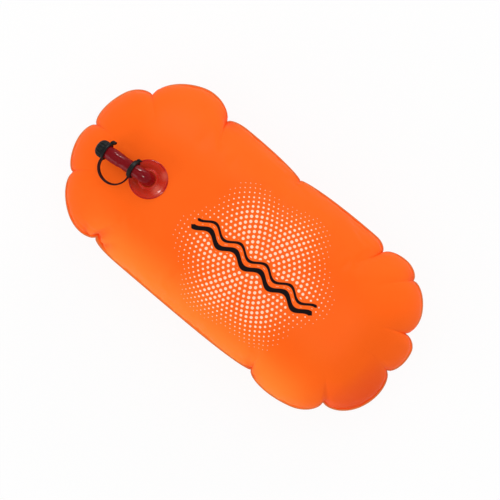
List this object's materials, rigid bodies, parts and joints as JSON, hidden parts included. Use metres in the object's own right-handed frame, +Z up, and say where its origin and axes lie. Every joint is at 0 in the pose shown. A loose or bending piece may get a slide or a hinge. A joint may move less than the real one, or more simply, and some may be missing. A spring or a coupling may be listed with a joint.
{
  "type": "open water swim buoy",
  "caption": "Inflatable pillow-shaped tow buoy: two welded coated sheets with a scalloped edge, a soft oral valve with a strapped dust cap on top, and a tow ring underneath.",
  "frame": {"origin": "on the surface that the bag lies on, under the middle of its box", "axes": "+X along the bag towards the valve end, +Y across it towards the side that the cap's strap loops over, +Z up"},
  "size_m": [0.46, 0.2284, 0.1909],
  "materials": {
    "coated_sheet": "satin coated sheet, fluorescent orange",
    "clear_red": "glossy translucent soft plastic, dark red",
    "black_rubber": "satin moulded black",
    "white_plastic": "moulded white",
    "seal_rubber": "matt black",
    "spring_steel": "drawn stainless wire",
    "webbing": "woven black webbing",
    "black_plastic": "moulded black"
  },
  "bodies": {
    "bag": {"upper_panel": "coated_sheet", "lower_panel": "coated_sheet", "valve_flange": "clear_red", "tube_elbow": "clear_red", "tow_patch": "coated_sheet", "tow_webbing": "webbing"},
    "tube": {"oral_tube": "clear_red", "valve_housing": "white_plastic", "poppet_spring": "spring_steel"},
    "ring": {"cap_retainer_ring": "black_rubber", "cap_strap": "black_rubber"},
    "cap": {"dust_cap": "black_rubber"},
    "poppet": {"valve_poppet": "white_plastic", "poppet_seal": "seal_rubber", "mouth_button": "white_plastic"},
    "tow_ring": {"tow_d_ring": "black_plastic"}
  },
  "joints": [
    {"name": "tube_flex", "type": "hinge", "parent": "bag", "child": "tube", "pos_m": [0.13795, 0.01191, 0.1718], "axis": [0.1011, -0.9949, 0], "range_deg": [0, 75], "stiffness_Nm_per_rad": 0.03, "deforming": ["tube_elbow"]},
    {"name": "ring_turn", "type": "hinge", "parent": "tube", "child": "ring", "pos_m": [0.14226, 0.01235, 0.1811], "axis": [0.9731, 0.0988, -0.2079], "range_deg": [-15, 170]},
    {"name": "cap_pull", "type": "slide", "parent": "ring", "child": "cap", "axis": [0.9731, 0.0988, -0.2079], "range_m": [0, 0.018], "deforming": ["cap_strap"]},
    {"name": "poppet_press", "type": "slide", "parent": "tube", "child": "poppet", "axis": [-0.9731, -0.0988, 0.2079], "range_m": [0, 0.003], "stiffness_N_per_m": 300, "springref_m": -0.002, "deforming": ["poppet_spring"]},
    {"name": "tow_ring_swing", "type": "hinge", "parent": "bag", "child": "tow_ring", "pos_m": [0.20444, 0, 0.02168], "axis": [0, -1, 0], "range_deg": [-35, 100]}
  ]
}
